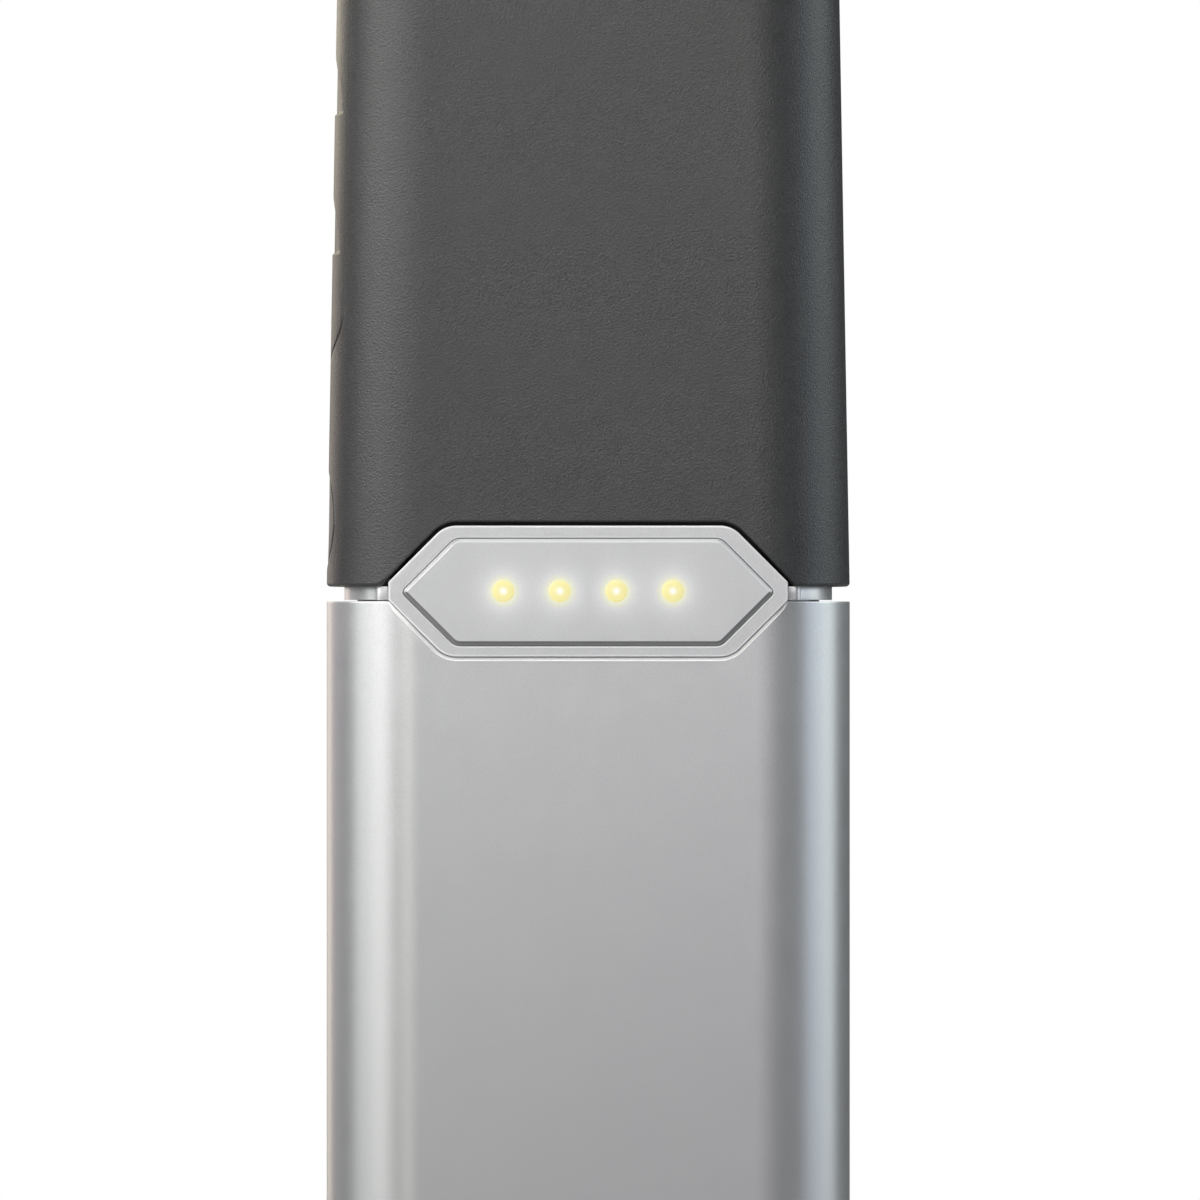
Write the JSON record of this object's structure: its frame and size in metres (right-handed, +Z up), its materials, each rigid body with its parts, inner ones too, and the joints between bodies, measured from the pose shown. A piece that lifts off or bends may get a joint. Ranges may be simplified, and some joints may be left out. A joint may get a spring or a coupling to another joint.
{
  "type": "electric eraser",
  "caption": "Cordless electric eraser: silver battery housing, dark soft grip with a side button and thumb pad, a lit charge indicator at the joint, and a collet that spins the eraser.",
  "frame": {"origin": "centre of the base, at the lowest face of the foot pad", "axes": "+Z up the body towards the eraser tip; -Y is the front with the charge indicator; -X is the side with the button and the grip pad"},
  "size_m": [0.028, 0.0226, 0.168],
  "materials": {
    "foot_rubber": "fine matt rubber",
    "base_grey": "fine spark-eroded matt",
    "housing_silver": "satin silver paint, very fine grain",
    "neck_silver": "satin silver paint",
    "bezel_silver": "satin silver, polished edges",
    "panel_silver": "satin silver",
    "light_pipe": "clear, lit warm yellow",
    "led_yellow": "clear resin",
    "grip_dark": "soft-touch dark grey, fine moulded grain",
    "pad_dark": "soft matt rubber",
    "button_dark": "soft-touch matt",
    "cover_rubber": "soft matt rubber",
    "cradle_plastic": "moulded matt",
    "cell_sleeve": "shrink sleeve",
    "nickel": "bright nickel plate",
    "screw_steel": "zinc-plated steel",
    "board_green": "solder mask",
    "chip_black": "epoxy",
    "usb_steel": "stamped steel",
    "pin_steel": "ground steel",
    "motor_zinc": "zinc-plated steel",
    "magnet_ferrite": "ferrite",
    "bronze": "sintered bronze",
    "bell_nylon": "moulded nylon",
    "brass_part": "turned brass",
    "core_steel": "stacked steel laminations",
    "copper_wire": "enamelled copper",
    "gear_acetal": "moulded acetal",
    "alu_turned": "turned, clear anodised",
    "race_steel": "ground bearing steel",
    "ball_steel": "polished steel",
    "spindle_steel": "turned steel",
    "collet_brass": "turned brass",
    "nut_silver": "satin anodised, fluted",
    "ring_silver": "satin anodised",
    "eraser_white": "soft matt vinyl",
    "wire_red": "PVC insulation"
  },
  "bodies": {
    "body": {"foot_pad": "foot_rubber", "base_cap": "base_grey", "base_screws": "screw_steel", "battery_housing": "housing_silver", "battery_cradle": "cradle_plastic", "battery_cell": "cell_sleeve", "battery_terminal": "nickel", "battery_tabs": "nickel", "charge_board": "board_green", "usb_shell": "usb_steel", "usb_tongue": "chip_black", "port_hinge_pin": "pin_steel", "main_board": "board_green", "board_chips": "chip_black", "indicator_leds": "led_yellow", "light_pipes": "light_pipe", "indicator_bezel": "bezel_silver", "indicator_panel": "panel_silver", "mid_frame": "neck_silver", "switch_board": "board_green", "tact_switch": "chip_black", "side_grip": "pad_dark", "grip_shell": "grip_dark", "motor_can": "motor_zinc", "motor_magnets": "magnet_ferrite", "motor_front_bush": "bronze", "motor_rear_bush": "bronze", "motor_end_bell": "bell_nylon", "motor_terminals": "brass_part", "motor_plate": "motor_zinc", "motor_screws": "screw_steel", "gear_case": "gear_acetal", "gearbox_screws": "screw_steel", "bearing_housing": "alu_turned", "retaining_ring": "pin_steel", "bearing_outer_races": "race_steel", "bearing_spacer": "alu_turned", "nose_ring": "ring_silver", "motor_wires": "wire_red"},
    "rotor": {"motor_shaft": "pin_steel", "rotor_core": "core_steel", "rotor_windings": "copper_wire", "commutator": "brass_part", "sun_gear": "brass_part"},
    "spindle": {"spindle": "spindle_steel", "planet_carrier": "alu_turned", "planet_pins": "pin_steel", "bearing_inner_races": "race_steel", "collet": "collet_brass"},
    "planet_1": {"planet_gear_1": "gear_acetal"},
    "planet_2": {"planet_gear_2": "gear_acetal"},
    "planet_3": {"planet_gear_3": "gear_acetal"},
    "balls": {"bearing_balls": "ball_steel"},
    "nut": {"collet_nut": "nut_silver"},
    "eraser": {"eraser": "eraser_white"},
    "button": {"power_button": "button_dark", "tact_plunger": "gear_acetal"},
    "cover": {"port_cover": "cover_rubber"}
  },
  "joints": [
    {"name": "spindle_spin", "type": "hinge", "parent": "body", "child": "spindle", "pos_m": [0, 0, 0.12], "axis": [0, 0, 1], "continuous": true},
    {"name": "rotor_spin", "type": "hinge", "parent": "body", "child": "rotor", "pos_m": [0, 0, 0.1], "axis": [0, 0, 1], "continuous": true},
    {"name": "planet_1_spin", "type": "hinge", "parent": "spindle", "child": "planet_1", "pos_m": [0.0048, 0, 0.1142], "axis": [0, 0, 1], "continuous": true},
    {"name": "planet_2_spin", "type": "hinge", "parent": "spindle", "child": "planet_2", "pos_m": [-0.0024, 0.00416, 0.1142], "axis": [0, 0, 1], "continuous": true},
    {"name": "planet_3_spin", "type": "hinge", "parent": "spindle", "child": "planet_3", "pos_m": [-0.0024, -0.00416, 0.1142], "axis": [0, 0, 1], "continuous": true},
    {"name": "ball_orbit", "type": "hinge", "parent": "body", "child": "balls", "pos_m": [0, 0, 0.126], "axis": [0, 0, 1], "continuous": true},
    {"name": "nut_turn", "type": "hinge", "parent": "spindle", "child": "nut", "pos_m": [0, 0, 0.152], "axis": [0, 0, 1], "range_deg": [0, 90]},
    {"name": "eraser_feed", "type": "slide", "parent": "spindle", "child": "eraser", "axis": [0, 0, 1], "range_m": [0, 0.014]},
    {"name": "button_press", "type": "slide", "parent": "body", "child": "button", "axis": [1, 0, 0], "range_m": [0, 0.00035], "stiffness_N_per_m": 4000, "springref_m": -0.0001},
    {"name": "port_cover_open", "type": "hinge", "parent": "body", "child": "cover", "pos_m": [0, 0.0105, 0.0132], "axis": [1, 0, 0], "range_deg": [0, 105]}
  ],
  "couplings": [
    {"joint": "rotor_spin", "follows": "spindle_spin", "ratio": 4},
    {"joint": "planet_1_spin", "follows": "spindle_spin", "ratio": -3},
    {"joint": "planet_2_spin", "follows": "spindle_spin", "ratio": -3},
    {"joint": "planet_3_spin", "follows": "spindle_spin", "ratio": -3},
    {"joint": "ball_orbit", "follows": "spindle_spin", "ratio": 0.4}
  ]
}
